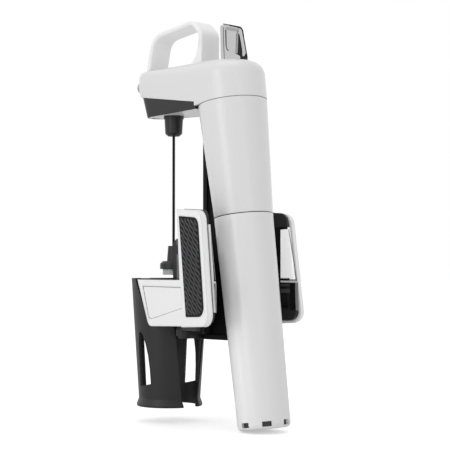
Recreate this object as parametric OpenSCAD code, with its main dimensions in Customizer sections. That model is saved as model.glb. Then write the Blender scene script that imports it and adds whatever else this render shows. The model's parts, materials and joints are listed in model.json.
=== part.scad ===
// Handheld wine dispenser: a hollow needle goes through the cork and an argon capsule pushes the wine out.
// The origin is on the needle, level with the mouth of the bottle. +Z is up, +Y is towards the spout,
// and the leaning tube with its capsule is at the back.

/* [Bottle] */
// Radius of the bottle neck that the two pads hold
neck_r = 14; // [12.5:0.1:15]
// Height of the pads along the neck
pad_h = 22; // [14:1:26]

/* [Tube] */
// Lean of the tube, towards the spout
tilt = 7.7; // [5:0.1:9]
// Distance of the tube's axis behind the needle, at the bottle's mouth
axis_back = 65.8; // [64:0.2:70]
// Radius of the cup at its bottom edge
cup_r = 15.4; // [15:0.1:16.5]
// Radius of the tube where the cup meets the middle housing
low_seam_r = 17.5; // [17.2:0.1:18.5]
// Radius of the tube where the middle housing meets the head
high_seam_r = 20.7; // [19.5:0.1:21.5]
// Depth of the cup below the bottle's mouth, along the axis
cup_drop = 87.5; // [84:0.5:95]
// Height of the seam above the cup, along the axis
low_seam = 37.2; // [34:0.2:40]
// Drop from the head's flat top to the seam below the head
seam_below = 24.1; // [19.5:0.2:29.5]
// Gap that shows as a dark line above the cup
seam_gap = 0.4; // [0.3:0.05:0.8]
// Number of vent slots round the foot of the cup
slots = 7; // [3:1:9]
// Width of a vent slot
slot_w = 5.5; // [3:0.1:7]
// Height of a vent slot
slot_h = 2.9; // [1.5:0.1:3.4]
// Wall of the cup and of the middle housing
tube_wall = 1.9; // [1.5:0.1:2.2]

/* [Capsule] */
// Radius of the gas capsule
capsule_r = 12.4; // [11:0.1:12.8]
// Length of the gas capsule's straight body
capsule_h = 84; // [70:1:88]
// Radius of the capsule's neck
capsule_neck_r = 4.6; // [3.5:0.1:5.2]

/* [Head] */
// Height of the head's flat top above the bottle's mouth
head_top = 129.5; // [126:0.5:134]
// Radius of the head's nose
nose_r = 13.6; // [12:0.1:15]
// Distance of the nose's centre in front of the needle
nose_y = 12; // [9:0.5:14]
// Wall of the head
head_wall = 2.2; // [1.6:0.1:2.8]
// Rounding of the head's top edge at the back
back_round = 9; // [6:0.5:11]
// Rounding of the head's top edge at the nose
nose_round = 4; // [2.5:0.5:5]
// Depth of the head, from its flat top to its flat underside
head_h = 28.5; // [27.5:0.5:30]

/* [Needle] */
// Outer diameter of the needle
needle_d = 1.7; // [1.2:0.1:2.2]
// Height of the needle's tip above the bottle's mouth, when parked
needle_tip = 2.4; // [1.5:0.1:4]
// Length of the needle's hub below the head
hub_h = 12.5; // [9:0.5:14]
// Diameter of the hub where it leaves the head
hub_d = 11.6; // [9:0.1:13]

/* [Handle and trigger] */
// Width of the loop handle
loop_w = 16; // [12:0.5:19]
// Thickness of the loop handle's band
loop_t = 3; // [2.4:0.1:3.8]
// Height of the loop handle above the head
loop_h = 26.3; // [22:0.5:30]
// Width of the trigger at the head
trigger_w = 21.2; // [16:0.2:22]
// Height of the trigger above the head
trigger_h = 22; // [16:0.5:25]
// Thickness of the trigger's blade
trigger_t = 2.6; // [2:0.1:3.4]
// Outer diameter of the spout
spout_d = 6.6; // [5:0.1:8]

/* [Rail and carriage] */
// Distance of the rail's front face behind the needle
rail_back = 31; // [30:0.1:31.6]
// Width of the rail's bead
bead_w = 9; // [7:0.2:11]
// Thickness of the rail's bead
bead_t = 3.2; // [2.6:0.1:3.6]
// Width of the web that carries the bead
web_w = 6; // [4:0.2:6.6]
// Depth of the rail below the bottle's mouth
rail_drop = 36.5; // [34:0.5:40]
// Running gap of the carriage on the rail
slide_gap = 0.3; // [0.2:0.05:0.5]
// Height of the carriage above the bottle's mouth
carriage_top = 23.8; // [20:0.2:27]

/* [Clamp] */
// Distance of each jaw's hinge pin from the middle
pin_x = 15.5; // [14.8:0.1:16.5]
// Distance of the hinge pins behind the needle
pin_back = 25.5; // [24:0.1:26.5]
// Diameter of the hinge pins
pin_d = 3.6; // [2.6:0.1:4.2]
// Height of the wings above the bottle's mouth
wing_top = 41; // [36:0.5:44]
// Depth of the wings below the bottle's mouth
wing_drop = 28.8; // [28:0.1:31]
// Thickness of each wing
wing_t = 6.2; // [5.6:0.1:7]
// Wall of the wing's white shell
shell_wall = 2; // [1.4:0.1:2.4]
// Angle of each wing's face to the middle plane
wing_splay = 11.6; // [10:0.1:12.5]
// Distance of the wing's face from the needle
wing_out = 25.9; // [25.4:0.1:26.6]
// Height that the grip stands proud of the shell
grip_proud = 0.7; // [0.3:0.1:1.2]
// Radius of the bottle sleeve at its top
sleeve_r = 23.8; // [23.2:0.1:25]
// Radius of the bottle sleeve at its foot
sleeve_foot_r = 18.8; // [18:0.1:21]
// Wall of the bottle sleeve
sleeve_wall = 1.3; // [1:0.1:1.3]
// Depth of the bottle sleeve below the bottle's mouth
sleeve_drop = 79; // [72:0.5:84]
// Distance of the sleeve's axis in front of the needle
sleeve_y = 3.4; // [2:0.1:4.5]
// Depth of the recessed panel in the front plate
panel_depth = 0.5; // [0.3:0.1:0.9]

/* [Hidden] */

$fn = 64;
// A little extra length, so that a cut runs past the face that it leaves
past = 1;
// Running gap of a shaft in its bore
run_fit = 0.05;
// Gap between pieces of one body that are only dropped in
drop_fit = 0.15;
// Gap between a moving piece and its neighbour
move_gap = 0.35;

// Tube and cup
high_seam = head_top - seam_below;
cup_h = cup_drop + low_seam;
cup_floor = 1.5;
cup_corner = 2.6;
ring_h = 11;
ring_step = 13;
ring_r = 15.2;
ring_bore_r = 13.5;
boss_r = ring_bore_r - move_gap;
boss_drop = 14;
cushion_h = 3.4;
capsule_foot = -cup_drop + cup_floor + cushion_h + 0.3;
capsule_shoulder = capsule_foot + capsule_h;
capsule_neck_l = 14;
capsule_top = capsule_shoulder + capsule_neck_l;
socket_r = capsule_neck_r + 0.5;
pierce_r = 0.8;
seal_t = 1.6;

// A length beyond every piece, for a cut that runs right through
far = 100;
// Reach of a side view's outline past the head
side_reach = 60;

// Middle housing and regulator
mid_floor = 2.8;
block_r = 13.6;
block_below = 13.4;
block_top = high_seam - block_below;
boss_hole_r = 9.6;
socket_wall = 2.6;
plunger_r = 2.4;
plunger_in = 12;
plunger_room = 2;
plunger_head_h = 1.6;
regulator_top_h = 6;
wire_big = 0.4;

// Head
underside = head_top - head_h;
brow_front_z = underside + 12.9;
brow_back_z = underside + 4;
brow_back_y = -38.5;
seam_y = -axis_back + high_seam * sin(tilt);
seam_z = high_seam * cos(tilt);
head_back_z = head_top - back_round;
head_back_y = -axis_back + head_back_z * tan(tilt);
surround_top_r = nose_r - 1.4;
surround_foot_r = 8.7;
surround_wall = 2.4;
plate_t = 1.8;
plate_rim = 1.2;
ledge_t = 1.2;
ledge_w = 1.4;

// Hub, manifold and guide
hub_flange_d = hub_d + 0.9;
hub_flange_h = 1.8;
hub_foot_d = hub_d - 1;
hub_tip_d = hub_d - 4.4;
needle_in = 10;
manifold_r = 7.4;
manifold_back = 18;
gas_r = 1.5;
gas_level = underside + plate_t + 6;
gas_out = 10;
gas_seat = 4;
spout_z = head_top - 8;
spout_reach = nose_y + nose_r + 5.2;
spout_seat = 3.4;
spout_block_y = 9;
guide_low = 5.6;
guide_flange_h = 5;
guide_top = carriage_top - 3.8;
guide_tube_r = 4.1;
guide_flange_r = 8.4;
arm_w = 12;
arm_front = 6;
foot_z = 0.2;

// Handle and trigger
loop_foot = nose_y + 6.2;
loop_back = 33;
loop_mid = -9;
loop_front_r = 12;
loop_rear_r = 7;
loop_sunk = 24;
loop_front_in = 6;
loop_rear_in = 8.4;
loop_rear_fall = 6.4;
flare_w = 11;
flare_h = 17;
pivot_y = -57;
pivot_z = head_top - 7.5;
pivot_pin_r = 1.5;
pivot_barrel_r = 3.2;
ear_gap = 0.5;
ear_t = 2.6;
trigger_lean = tilt;
blade_on = 3.4;
rim_w = 1.7;
dish = 0.9;
plunger_y = -axis_back + pivot_z * tan(tilt);
lever_arm = plunger_y - pivot_y;

// Rail and carriage
rail_top = underside;
bead_back = rail_back + bead_t;
web_clear = 1.3;
seat_in = 1.2;
foot_h = 3;
foot_w = bead_w + 1.4;
lip_t = 2;
lip_top = 5;
cheek = bead_w / 2 + slide_gap;
block_w = 18;
block_front = 20;
lug_h = 5.6;
lug_top_h = 4;
lug_r = 4.4;
lug_foot_h = 1.6;
lug_foot_in = 1.2;
carriage_drop = rail_drop - 0.5;
screw_r = 1.25;
screw_head_r = 2.6;
screw_head_h = 1.2;
screw_l = 6.4;
screw_below = 19.4;
screw_pitch = 18;
screw_at = [for (k = [2, 1, 0]) high_seam - screw_below - k * screw_pitch];

// Clamp
barrel_r = 4;
barrel_low = -carriage_drop + lug_h + move_gap;
barrel_high = carriage_top - lug_top_h - move_gap - 5;
spring_wire = 0.4;
spring_r = pin_d / 2 + 1.1;
spring_turns = 2.5;
rim_depth = wing_t - 2.6;
plate_depth = shell_wall + 0.8;
window_at = 177.2;
rim_wall = 1.8;
front_rim = 2;
front_edge = 40.2;
rear_edge = 66.4;
wing_corner = 7;
wing_lead = 14;
grip_in = 3.2;
grip_corner = 5.4;
plate_corner = 5;
plate_front = 9.3;
plate_rear = 56;
plate_toe = 7.8;
plate_over = 6.8;
plate_top = -0.8;
panel_in = 4.6;
panel_l = 45;
panel_h = 12.6;
window_w = 9.8;
window_in = 32.4;
window_foot = 12.5;
sleeve_from = 101;
sleeve_to = 262;
sleeve_gap = 6;
sleeve_gap_rise = 0.13;
arm_rear = -57;
arm_foot_t = 3;
arm_foot_l = 12;
sleeve_lip = 1.6;
pad_back = 18;
pad_half = 8.6;
pad_open = 10;
liner_t = 1.2;
liner_top = 31;
liner_foot = 19;
liner_in = 6;
pocket_depth = 3;
cut_in = 10;

// Radius of the tube at a height along its axis
function tube_r(t) = t < low_seam
  ? cup_r + (low_seam_r - cup_r) * (t + cup_drop) / cup_h
  : low_seam_r + (high_seam_r - low_seam_r) * (t - low_seam) / (high_seam - low_seam);

// Outer radius of the bottle sleeve at a depth below the bottle's mouth
function sleeve_at(depth) = sleeve_r + (sleeve_foot_r - sleeve_r) * depth / sleeve_drop;

// Front and back edges of a wing at a height; both lean with the tube
function wing_front(z) = -front_edge - (wing_top - z) * 0.075;
function wing_rear(z) = -rear_edge - (wing_top - z) * 0.117;
function grip_front(z) = wing_front(wing_top) - front_rim - (wing_top - z) * tan(tilt);

// Places its children on the tube's axis, with Z along the tube
module on_axis() {
  translate([0, -axis_back, 0]) rotate([-tilt, 0, 0]) children();
}

// Extrudes a profile, drawn with Y across and Z up, over a width centred on the middle plane
module across(w) {
  translate([-w / 2, 0, 0]) rotate([90, 0, 90]) linear_extrude(w) children();
}

module mirrored() {
  mirror([1, 0, 0]) children();
}

// An unbroken wire spring, swept as a helix of six-sided rings
module helix_spring(r, wire, turns, h) {
  rings = ceil(turns * 8);
  sides = 6;
  points = [for (i = [0:rings], k = [0:sides - 1])
    let (a = i * turns * 360 / rings, b = k * 360 / sides)
    [(r + wire * cos(b)) * cos(a), (r + wire * cos(b)) * sin(a), h * i / rings + wire * sin(b)]];
  skin = [for (i = [0:rings - 1], k = [0:sides - 1])
    let (p = i * sides + k, q = i * sides + (k + 1) % sides)
    each [[p, q, q + sides], [p, q + sides, p + sides]]];
  ends = [[for (k = [sides - 1:-1:0]) k], [for (k = [0:sides - 1]) rings * sides + k]];
  polyhedron(points, concat(skin, ends), convexity = 8);
}

// Head: a white shell that runs from the tube forward to a narrower nose

module head_disc(r, round, y, z) {
  translate([0, y, z]) rotate_extrude($fn = 48) difference() {
    union() {
      square([r - round, round]);
      translate([r - round, 0]) intersection() {
        circle(r = round, $fn = 32);
        square(round);
      }
    }
  }
}

module head_form(inset) {
  on_axis() translate([0, 0, high_seam - 6]) cylinder(r = tube_r(high_seam) - inset, h = 4, $fn = 48);
  head_disc(high_seam_r + 0.4 - inset, back_round - inset / 2, head_back_y, head_back_z - inset / 2);
  head_disc(nose_r - inset, nose_round - inset / 2, nose_y, head_top - nose_round - inset / 2);
  translate([0, nose_y, brow_front_z + 3.6]) cylinder(r = nose_r - inset, h = 1, $fn = 48);
  translate([0, nose_y - 0.4, underside + 3]) cylinder(r = nose_r - 2.6 - inset, h = 0.5, $fn = 48);
}

// Height of the brow, the head's lower edge, which rises towards the nose
function brow_z(y) =
  brow_back_z + (brow_front_z - brow_back_z) * (y - brow_back_y) / (nose_y + 9.5 - brow_back_y);
// Height of the plane of the upper seam, which is square to the tube
function seam_at(y) = seam_z - (y - seam_y) * tan(tilt);

// Side view of all that is above the seam and the brow
module above_brow() {
  polygon([
    [-far, seam_at(-far)],
    [brow_back_y, seam_at(brow_back_y)],
    [brow_back_y, brow_back_z],
    [far, brow_z(far)],
    [far, head_top + far],
    [-far, head_top + far]
  ]);
}

module head_shell() {
  color("whitesmoke") difference() {
    intersection() {
      hull() head_form(0);
      across(2 * side_reach) above_brow();
    }
    difference() {
      hull() head_form(head_wall);
      trigger_ears();
    }
    trigger_slot();
    trigger_hole(pivot_pin_r);
    translate([0, 0, spout_z]) rotate([-90, 0, 0]) cylinder(d = spout_d + 2 * drop_fit, h = 60);
  }
}

// Two ears under the top of the head, which hold the trigger's pin
module trigger_ears() {
  side = trigger_w / 2 + ear_gap;
  for (x = [-side - ear_t, side]) translate([x, pivot_y - pivot_barrel_r, pivot_z - pivot_barrel_r])
    cube([ear_t, 2 * pivot_barrel_r, head_top - pivot_z + pivot_barrel_r]);
}

// Slot in the top of the head that the trigger comes out of
module trigger_slot() {
  translate([-trigger_w / 2 - move_gap, pivot_y - 3, head_top - back_round])
    cube([trigger_w + 2 * move_gap, 10, back_round + past]);
}

module mid_housing() {
  wall = tube_wall;
  color("whitesmoke") difference() {
    on_axis() rotate_extrude() polygon([
      [boss_hole_r, low_seam - boss_drop],
      [boss_r, low_seam - boss_drop],
      [boss_r, low_seam],
      [low_seam_r - 0.4, low_seam],
      [low_seam_r, low_seam + 0.4],
      [high_seam_r, high_seam - 0.5],
      [high_seam_r - 0.5, high_seam],
      [high_seam_r - wall, high_seam],
      [low_seam_r - wall, low_seam + mid_floor],
      [boss_hole_r, low_seam + mid_floor]
    ]);
    rail_bar();
    web_space();
    rail_screw_holes();
  }
}

module trigger_outline(inset) {
  base = trigger_w / 2 - inset;
  top = base * 0.8;
  hull() {
    polygon([[-base, inset - 4], [base, inset - 4], [base * 0.97, 2], [-base * 0.97, 2]]);
    for (s = [-1, 1]) translate([s * (top - 2.6), trigger_h - 2.6 - inset]) circle(r = 2.6, $fn = 32);
  }
}

// Dish in the trigger's rear face, which ends in a slanted edge to the right of the middle
module dish_outline() {
  side = trigger_w / 2;
  intersection() {
    trigger_outline(rim_w);
    polygon([
      [-0.8 * side, trigger_h],
      [-0.8 * side, 0.4 * trigger_h],
      [-0.63 * side, 0.3 * trigger_h],
      [0.34 * side, 0.22 * trigger_h],
      [0.27 * side, 0.45 * trigger_h],
      [0.14 * side, trigger_h]
    ]);
  }
}

module trigger() {
  color("silver") difference() {
    union() {
      translate([0, pivot_y + blade_on, head_top]) rotate([90 - trigger_lean, 0, 0]) difference() {
        translate([0, 0, -trigger_t / 2]) linear_extrude(trigger_t) trigger_outline(0);
        translate([0, 0, trigger_t / 2 - dish]) linear_extrude(dish + past) dish_outline();
      }
      translate([-trigger_w / 2, pivot_y, pivot_z]) rotate([0, 90, 0])
        cylinder(r = pivot_barrel_r, h = trigger_w);
      translate([-8, pivot_y - 1.2, pivot_z]) cube([16, 4.4, head_top - 3.6 - pivot_z]);
      translate([-3, pivot_y, pivot_z - 1.6]) cube([6, lever_arm + 2, 3.2]);
    }
    trigger_hole(pivot_pin_r + run_fit);
  }
}

module trigger_hole(r) {
  half = trigger_w / 2 + ear_gap + ear_t + past;
  translate([-half, pivot_y, pivot_z]) rotate([0, 90, 0]) cylinder(r = r, h = 2 * half);
}

module trigger_pin() {
  half = trigger_w / 2 + ear_gap + ear_t;
  color("gainsboro") translate([-half, pivot_y, pivot_z]) rotate([0, 90, 0])
    cylinder(r = pivot_pin_r, h = 2 * half);
}

module trigger_spring() {
  low = block_top + regulator_top_h;
  color("gray") on_axis() translate([0, 0, low + wire_big])
    helix_spring(plunger_r + 1.4, wire_big, 7, plunger_top - plunger_head_h - low - 2 * wire_big);
}

module spout() {
  color("silver") translate([0, spout_seat, spout_z]) rotate([-90, 0, 0]) difference() {
    cylinder(d = spout_d, h = spout_reach - spout_seat);
    translate([0, 0, -past]) cylinder(d = spout_d - 2, h = spout_reach + 2 * past);
  }
}

module surround_form(inset) {
  hull() {
    translate([0, nose_y - 0.4, brow_z(40)]) cylinder(r = surround_top_r - inset, h = 0.5, $fn = 48);
    translate([0, nose_y - 0.4, underside]) cylinder(r = surround_foot_r - inset, h = 0.5, $fn = 48);
    translate([0, seam_y, underside]) cylinder(r = high_seam_r - 0.6 - inset, h = 0.5, $fn = 48);
    translate([0, seam_y, brow_back_z]) cylinder(r = high_seam_r - 0.2 - inset, h = 0.5, $fn = 48);
  }
}

// Side view of the surround, inset on all sides but the open top
module surround_side(inset, floor) {
  polygon([
    [brow_back_y + inset, underside + floor],
    [side_reach, underside + floor],
    [side_reach, brow_z(side_reach) + (inset > 0 ? past : 0)],
    [brow_back_y + inset, brow_z(brow_back_y + inset) + (inset > 0 ? past : 0)]
  ]);
}

module head_surround() {
  ledge_z = underside + plate_t;
  color("dimgray") difference() {
    intersection() {
      surround_form(0);
      across(2 * side_reach) surround_side(0, 0);
    }
    intersection() {
      surround_form(surround_wall);
      across(2 * side_reach) surround_side(surround_wall, plate_t + ledge_t);
    }
    translate([0, 0, underside - past]) underside_outline(plate_t + past, 0);
    translate([0, 0, ledge_z - past]) underside_outline(ledge_t + 2 * past, ledge_w);
    tube_space();
  }
}

// Room for the tube to pass up into the head
module tube_space() {
  on_axis() translate([0, 0, low_seam]) {
    cylinder(r1 = low_seam_r + drop_fit, r2 = high_seam_r + drop_fit, h = high_seam - low_seam);
    translate([0, 0, high_seam - low_seam]) cylinder(r = high_seam_r + drop_fit, h = 12);
  }
}

// Plan of the light plate let into the underside, behind the black rim
module underside_outline(h, gap) {
  intersection() {
    hull() {
      translate([0, nose_y - 0.4, 0]) cylinder(r = surround_foot_r - plate_rim - gap, h = h, $fn = 48);
      translate([0, seam_y, 0]) cylinder(r = high_seam_r - 0.6 - plate_rim - gap, h = h, $fn = 48);
    }
    translate([-40, brow_back_y + plate_rim + gap, 0]) cube([80, 80, h]);
  }
}

module underside_plate() {
  color("white") difference() {
    translate([0, 0, underside]) underside_outline(plate_t, drop_fit);
    translate([0, 0, underside - past]) cylinder(d = hub_tip_d + 2 * run_fit, h = plate_t + 2 * past);
    translate([0, nose_y + 4.4, underside - past]) cylinder(r = 2.6, h = plate_t + 2 * past);
    tube_space();
  }
}

module needle_hub() {
  low = underside - hub_h;
  color("dimgray") translate([0, 0, low]) rotate_extrude() polygon([
    [needle_d / 2, 0],
    [hub_tip_d / 2, 0],
    [hub_foot_d / 2, 1.6],
    [hub_d / 2, hub_h - hub_flange_h],
    [hub_flange_d / 2, hub_h - hub_flange_h],
    [hub_flange_d / 2, hub_h],
    [hub_tip_d / 2, hub_h],
    [hub_tip_d / 2, hub_h + plate_t],
    [needle_d / 2, hub_h + plate_t]
  ]);
}

module needle() {
  color("black") translate([0, 0, needle_tip]) difference() {
    union() {
      translate([0, 0, 4]) cylinder(d = needle_d, h = underside - needle_tip - 4 + needle_in);
      cylinder(d1 = needle_d * 0.45, d2 = needle_d, h = 4);
    }
    translate([0, 0, 5]) cylinder(d = needle_d * 0.5, h = underside + needle_in);
  }
}

module manifold() {
  low = underside + plate_t;
  color("dimgray") difference() {
    union() {
      translate([0, 0, low]) cylinder(r = manifold_r, h = spout_z + 4.6 - low);
      translate([-manifold_r, -manifold_back, low]) cube([2 * manifold_r, manifold_back, 12]);
      translate([-5, 0, spout_z - 5]) cube([10, spout_block_y, 9.6]);
    }
    translate([0, 0, low - past]) cylinder(d = needle_d, h = needle_in + past);
    translate([0, 0, low + needle_in - past])
      cylinder(d = needle_d * 0.6, h = spout_z - low - needle_in + past);
    translate([0, -1, spout_z]) rotate([-90, 0, 0]) cylinder(d = spout_d - 2, h = 20);
    translate([0, spout_seat, spout_z]) rotate([-90, 0, 0]) cylinder(d = spout_d, h = 20);
    translate([0, -manifold_back - past, gas_level]) rotate([-90, 0, 0])
      cylinder(r = gas_r, h = gas_seat + past);
  }
}

module regulator_block() {
  foot = low_seam + mid_floor;
  nose = capsule_top - 6;
  bore_floor = block_top - plunger_in - plunger_room;
  bore_l = plunger_in + plunger_room + regulator_top_h + past;
  color("darkkhaki") on_axis() difference() {
    union() {
      translate([0, 0, foot]) cylinder(r = block_r, h = block_top - foot);
      translate([0, 0, nose]) cylinder(r = socket_r + socket_wall, h = foot - nose);
      translate([0, 0, block_top]) cylinder(r = 7, h = regulator_top_h);
    }
    translate([0, 0, nose - past]) cylinder(r = socket_r, h = capsule_top + 2 - nose + past);
    translate([0, 0, capsule_top + past]) cylinder(r = pierce_r, h = bore_floor - capsule_top);
    translate([0, 0, bore_floor]) cylinder(r = plunger_r + run_fit, h = bore_l);
    translate([0, gas_out, block_top - gas_seat]) cylinder(r = gas_r, h = gas_seat + past);
  }
}

module piercing_pin() {
  color("silver") on_axis() translate([0, 0, capsule_top - 5]) {
    cylinder(r1 = 0.2, r2 = pierce_r, h = 3);
    translate([0, 0, 3]) cylinder(r = pierce_r, h = 12);
  }
}

module regulator_seal() {
  color("black") on_axis() translate([0, 0, capsule_top + 2 - seal_t]) difference() {
    cylinder(r = socket_r, h = seal_t);
    translate([0, 0, -past]) cylinder(r = pierce_r, h = seal_t + 2 * past);
  }
}

// Top of the plunger, a little below the trigger's foot
plunger_top = (pivot_z - 1.6 - move_gap) / cos(tilt) - 0.6;

module valve_plunger() {
  color("gainsboro") on_axis() {
    translate([0, 0, block_top - plunger_in])
      cylinder(r = plunger_r, h = plunger_top - block_top + plunger_in);
    translate([0, 0, plunger_top - plunger_head_h]) cylinder(r = plunger_r + 1.8, h = plunger_head_h);
  }
}

// Path of the gas tube: up beside the plunger, then forward to the manifold, with a ball at the corner
module gas_run(r, ball_r) {
  foot = tube_point(block_top - gas_seat, gas_out);
  corner = foot[0] + (gas_level - foot[1]) * tan(tilt);
  translate([0, foot[0], foot[1]]) rotate([-tilt, 0, 0])
    cylinder(r = r, h = (gas_level - foot[1]) / cos(tilt));
  translate([0, corner, gas_level]) sphere(r = ball_r);
  translate([0, corner, gas_level]) rotate([-90, 0, 0])
    cylinder(r = r, h = gas_seat - manifold_back - corner);
}

// Tube that takes the gas from the regulator forward to the manifold
module gas_tube() {
  color("lightgray") difference() {
    gas_run(gas_r, gas_r + 0.4);
    gas_run(gas_r * 0.5, gas_r * 0.6);
  }
}

// Rail: a wide bead on a web, which seats in the front of the middle housing

// Side view of the web, from the bead back to the tube
module web_profile() {
  seat_low = low_seam + 1.4;
  top = high_seam - 2;
  intersection() {
    polygon([
      [-rail_back - bead_t / 2, -rail_drop - 20],
      tube_point(-rail_drop - 20, tube_r(-rail_drop) + web_clear),
      tube_point(low_seam - 1, low_seam_r + web_clear),
      tube_point(seat_low, low_seam_r + web_clear),
      tube_point(seat_low, low_seam_r - seat_in),
      tube_point(top, high_seam_r - seat_in),
      [-rail_back - bead_t / 2, rail_top]
    ]);
    translate([-2 * far, -rail_drop]) square([2 * far, 4 * far]);
  }
}

// Side view of the rail's foot, on which the carriage rests
module rail_foot() {
  intersection() {
    translate([-2 * far, -rail_drop]) square([2 * far - bead_back - slide_gap, foot_h]);
    polygon([
      [0, -rail_drop - 20],
      tube_point(-rail_drop - 20, tube_r(-rail_drop) + web_clear),
      tube_point(0, tube_r(-rail_drop) + web_clear),
      [0, 0]
    ]);
  }
}

// A point in the side view, at a height along the tube and a distance in front of its axis
function tube_point(t, out) = [
  -axis_back + t * sin(tilt) + out * cos(tilt),
  t * cos(tilt) - out * sin(tilt)
];

module web_space() {
  across(web_w) web_profile();
}

module rail_bar() {
  translate([-bead_w / 2, -bead_back, -rail_drop]) cube([bead_w, bead_t, rail_drop + rail_top]);
}

module rail_screw_holes() {
  for (t = screw_at) on_axis() translate([0, 0, t]) rotate([-90, 0, 0])
    cylinder(r = screw_r, h = high_seam_r + 4);
}

module guide_rail() {
  color("black") difference() {
    union() {
      rail_bar();
      web_space();
      across(foot_w) rail_foot();
    }
    rail_screw_holes();
  }
}

module rail_screws() {
  color("silver") on_axis() for (t = screw_at) translate([0, 0, t]) rotate([-90, 0, 0]) {
    out = tube_r(t) - tube_wall - 0.4;
    translate([0, 0, out - screw_head_h]) cylinder(r = screw_head_r, h = screw_head_h);
    translate([0, 0, out - screw_head_h]) cylinder(r = screw_r, h = screw_l);
  }
}

// Cup: it screws onto the middle housing and holds the capsule

module capsule_cup() {
  top = low_seam - seam_gap;
  step = low_seam - ring_step;
  slot_z = -cup_drop + cup_floor + slot_h / 2 + 0.1;
  inner_foot = cup_r - tube_wall;
  inner_top = tube_r(step) - tube_wall - 0.8;
  color("whitesmoke") on_axis() difference() {
    rotate_extrude() difference() {
      union() {
        polygon([
          [0, -cup_drop],
          [cup_r - cup_corner, -cup_drop],
          [tube_r(-cup_drop + cup_corner), -cup_drop + cup_corner],
          [tube_r(top), top],
          [0, top]
        ]);
        translate([cup_r - cup_corner, -cup_drop + cup_corner]) circle(r = cup_corner, $fn = 32);
      }
      polygon([
        [-past, -cup_drop + cup_floor],
        [inner_foot, -cup_drop + cup_floor],
        [inner_top, step],
        [ring_r, step],
        [ring_r, top + past],
        [-past, top + past]
      ]);
    }
    for (k = [0:slots - 1]) rotate([0, 0, 230.3 + k * 360 / slots])
      translate([cup_r - tube_wall - 1.4, -slot_w / 2, slot_z - slot_h / 2]) cube([8, slot_w, slot_h]);
  }
}

module cup_thread_ring() {
  color("silver") on_axis() translate([0, 0, low_seam - ring_step]) difference() {
    cylinder(r = ring_r, h = ring_h);
    translate([0, 0, -past]) cylinder(r = ring_bore_r, h = ring_h + 2 * past);
  }
}

module cup_cushion() {
  color("dimgray") on_axis() translate([0, 0, -cup_drop + cup_floor]) difference() {
    cylinder(r = cup_r - tube_wall - drop_fit, h = cushion_h);
    translate([0, 0, -past]) cylinder(r = 5, h = cushion_h + 2 * past);
  }
}

module argon_capsule() {
  low = capsule_foot;
  shoulder = capsule_shoulder;
  color("silver") on_axis() difference() {
    rotate_extrude() union() {
      polygon([
        [0, low],
        [capsule_r - 4, low],
        [capsule_r, low + 4],
        [capsule_r, shoulder],
        [capsule_neck_r + 3, shoulder + 5.6],
        [capsule_neck_r, shoulder + 7.4],
        [capsule_neck_r, capsule_top],
        [0, capsule_top]
      ]);
    }
    translate([0, 0, capsule_top - 7]) cylinder(r = pierce_r + move_gap, h = 7 + past);
  }
}

// Carriage: it slides on the rail, guides the needle and carries the two jaws

module lug_plan(inset) {
  hull() {
    for (s = [-1, 1]) translate([s * pin_x, -pin_back]) circle(r = lug_r - inset, $fn = 32);
    translate([-block_w / 2, -rail_back + slide_gap]) square([block_w, 4]);
    translate([-pin_x + 2 + inset, -block_front + 1]) square([2 * pin_x - 4 - 2 * inset, 2 - inset]);
  }
}

module carriage() {
  low = -carriage_drop;
  rear = bead_back + slide_gap + lip_t;
  lips_low = -rail_drop + foot_h + slide_gap;
  color("dimgray") difference() {
    union() {
      translate([-block_w / 2, -rail_back + slide_gap, low])
        cube([block_w, rail_back - slide_gap - block_front, carriage_top - low]);
      translate([-block_w / 2, -rear, lips_low]) cube([block_w, rear - rail_back + 1, lip_top - lips_low]);
      translate([0, 0, low]) linear_extrude(lug_foot_h) lug_plan(lug_foot_in);
      translate([0, 0, low + lug_foot_h]) linear_extrude(lug_h - lug_foot_h) lug_plan(0);
      translate([0, 0, carriage_top - lug_top_h]) linear_extrude(lug_top_h) lug_plan(0);
      across(arm_w) polygon([
        [-block_front - 1, foot_z],
        [-arm_front, foot_z],
        [-arm_front, carriage_top - 1.9],
        [-arm_front - 2.6, carriage_top],
        [-block_front - 1, carriage_top]
      ]);
    }
    translate([-cheek, -bead_back - slide_gap, low - past]) cube([2 * cheek, bead_t + 2 * slide_gap, 100]);
    translate([-web_w / 2 - slide_gap, -60, low - past]) cube([web_w + 2 * slide_gap, 60 - bead_back, 100]);
    for (s = [-1, 1]) translate([s * pin_x, -pin_back, low - past]) cylinder(d = pin_d, h = 100);
    barrel_sweep();
  }
}

// Room round each barrel for the jaw to turn in
module barrel_sweep() {
  for (s = [-1, 1]) translate([s * pin_x, -pin_back, barrel_low - move_gap])
    cylinder(r = barrel_r + move_gap, h = carriage_top - lug_top_h - barrel_low + move_gap);
}

// The part of the guide in front of the carriage's arm
module before_arm() {
  intersection() {
    children();
    translate([-20, -arm_front, 0]) cube([40, 60, 60]);
  }
}

module needle_guide() {
  color("dimgray") before_arm() rotate_extrude() polygon([
    [needle_d / 2 + 0.35, guide_low],
    [guide_flange_r, guide_low],
    [guide_flange_r, guide_low + 3.4],
    [6.6, guide_low + guide_flange_h],
    [guide_tube_r, guide_low + guide_flange_h],
    [guide_tube_r - 0.7, guide_top],
    [needle_d / 2 + 0.35, guide_top]
  ]);
  color("dimgray") translate([-3, -arm_front, guide_low]) cube([6, arm_front - 2, guide_flange_h + 5]);
}

module guide_disc() {
  color("gainsboro") before_arm() translate([0, 0, 2]) difference() {
    cylinder(r = 6.7, h = guide_low - 2);
    translate([0, 0, -past]) cylinder(r = needle_d / 2 + 0.6, h = guide_low);
  }
}

// Jaws: levers like a clothes peg, with a wing behind the pin and half a sleeve in front of it

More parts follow.
